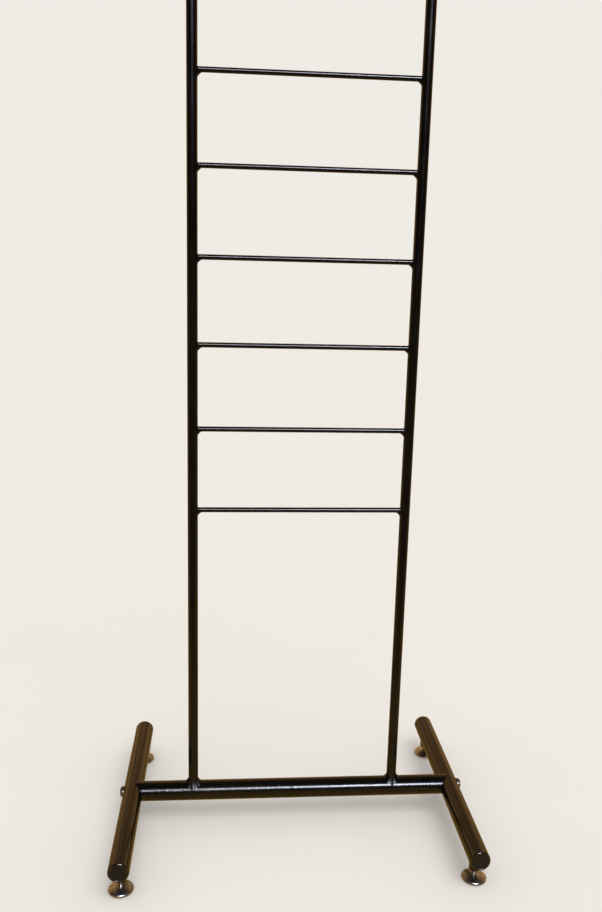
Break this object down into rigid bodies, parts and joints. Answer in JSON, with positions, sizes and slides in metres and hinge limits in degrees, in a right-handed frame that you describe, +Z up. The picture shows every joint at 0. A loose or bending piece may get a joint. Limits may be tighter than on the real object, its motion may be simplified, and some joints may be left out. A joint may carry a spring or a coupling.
{
  "type": "ladder display rack",
  "caption": "Free-standing black steel ladder rack for hanging quilts: thin uprights with welded rungs on a bolted tube base with levelling feet.",
  "frame": {"origin": "on the floor, under the middle of the crossbar, where the uprights' plane meets the middle of the rack", "axes": "+X along the rungs to the right as seen from the front, +Y towards the back, +Z up"},
  "size_m": [0.6894, 0.48, 1.8],
  "materials": {
    "black_enamel": "gloss black powder coat on steel tube, rod and welds",
    "plug_plastic": "moulded black polyethylene, fine texture",
    "nickel": "bright nickel-plated steel",
    "raw_steel": "bare mild steel, inside the crossbar",
    "pad_plastic": "dark grey nylon glide pad"
  },
  "bodies": {
    "frame": {"upright_left": "black_enamel", "upright_right": "black_enamel", "rung_1": "black_enamel", "rung_2": "black_enamel", "rung_3": "black_enamel", "rung_4": "black_enamel", "rung_5": "black_enamel", "rung_6": "black_enamel", "rung_7": "black_enamel", "rung_8": "black_enamel", "rung_welds_left": "black_enamel", "rung_welds_right": "black_enamel", "crossbar": "black_enamel", "upright_weld_left": "black_enamel", "upright_weld_right": "black_enamel", "crossbar_threaded_plate_left": "raw_steel", "crossbar_threaded_plate_right": "raw_steel", "foot_tube_left": "black_enamel", "foot_tube_right": "black_enamel", "foot_plug_front_left": "plug_plastic", "foot_plug_rear_left": "plug_plastic", "foot_plug_front_right": "plug_plastic", "foot_plug_rear_right": "plug_plastic", "upright_plug_left": "plug_plastic", "upright_plug_right": "plug_plastic", "saddle_washer_left": "nickel", "saddle_washer_right": "nickel", "base_bolt_left": "nickel", "base_bolt_right": "nickel", "leveller_boss_front_left": "black_enamel", "leveller_boss_rear_left": "black_enamel", "leveller_boss_front_right": "black_enamel", "leveller_boss_rear_right": "black_enamel"},
    "leveller_foot_front_left": {"leveller_cup_front_left": "nickel", "leveller_pad_front_left": "pad_plastic"},
    "leveller_screw_front_left": {"leveller_stud_front_left": "nickel"},
    "leveller_foot_rear_left": {"leveller_cup_rear_left": "nickel", "leveller_pad_rear_left": "pad_plastic"},
    "leveller_screw_rear_left": {"leveller_stud_rear_left": "nickel"},
    "leveller_foot_front_right": {"leveller_cup_front_right": "nickel", "leveller_pad_front_right": "pad_plastic"},
    "leveller_screw_front_right": {"leveller_stud_front_right": "nickel"},
    "leveller_foot_rear_right": {"leveller_cup_rear_right": "nickel", "leveller_pad_rear_right": "pad_plastic"},
    "leveller_screw_rear_right": {"leveller_stud_rear_right": "nickel"}
  },
  "joints": [
    {"name": "level_front_left", "type": "slide", "parent": "frame", "child": "leveller_foot_front_left", "axis": [0, 0, -1], "range_m": [-0.009, 0.003]},
    {"name": "screw_front_left", "type": "hinge", "parent": "leveller_foot_front_left", "child": "leveller_screw_front_left", "pos_m": [-0.319, -0.208, 0], "axis": [0, 0, -1], "range_deg": [-2592, 864]},
    {"name": "level_rear_left", "type": "slide", "parent": "frame", "child": "leveller_foot_rear_left", "axis": [0, 0, -1], "range_m": [-0.009, 0.003]},
    {"name": "screw_rear_left", "type": "hinge", "parent": "leveller_foot_rear_left", "child": "leveller_screw_rear_left", "pos_m": [-0.319, 0.208, 0], "axis": [0, 0, -1], "range_deg": [-2592, 864]},
    {"name": "level_front_right", "type": "slide", "parent": "frame", "child": "leveller_foot_front_right", "axis": [0, 0, -1], "range_m": [-0.009, 0.003]},
    {"name": "screw_front_right", "type": "hinge", "parent": "leveller_foot_front_right", "child": "leveller_screw_front_right", "pos_m": [0.319, -0.208, 0], "axis": [0, 0, -1], "range_deg": [-2592, 864]},
    {"name": "level_rear_right", "type": "slide", "parent": "frame", "child": "leveller_foot_rear_right", "axis": [0, 0, -1], "range_m": [-0.009, 0.003]},
    {"name": "screw_rear_right", "type": "hinge", "parent": "leveller_foot_rear_right", "child": "leveller_screw_rear_right", "pos_m": [0.319, 0.208, 0], "axis": [0, 0, -1], "range_deg": [-2592, 864]}
  ],
  "couplings": [
    {"joint": "screw_front_left", "follows": "level_front_left", "rad_per_m": 5026.5},
    {"joint": "screw_rear_left", "follows": "level_rear_left", "rad_per_m": 5026.5},
    {"joint": "screw_front_right", "follows": "level_front_right", "rad_per_m": 5026.5},
    {"joint": "screw_rear_right", "follows": "level_rear_right", "rad_per_m": 5026.5}
  ]
}
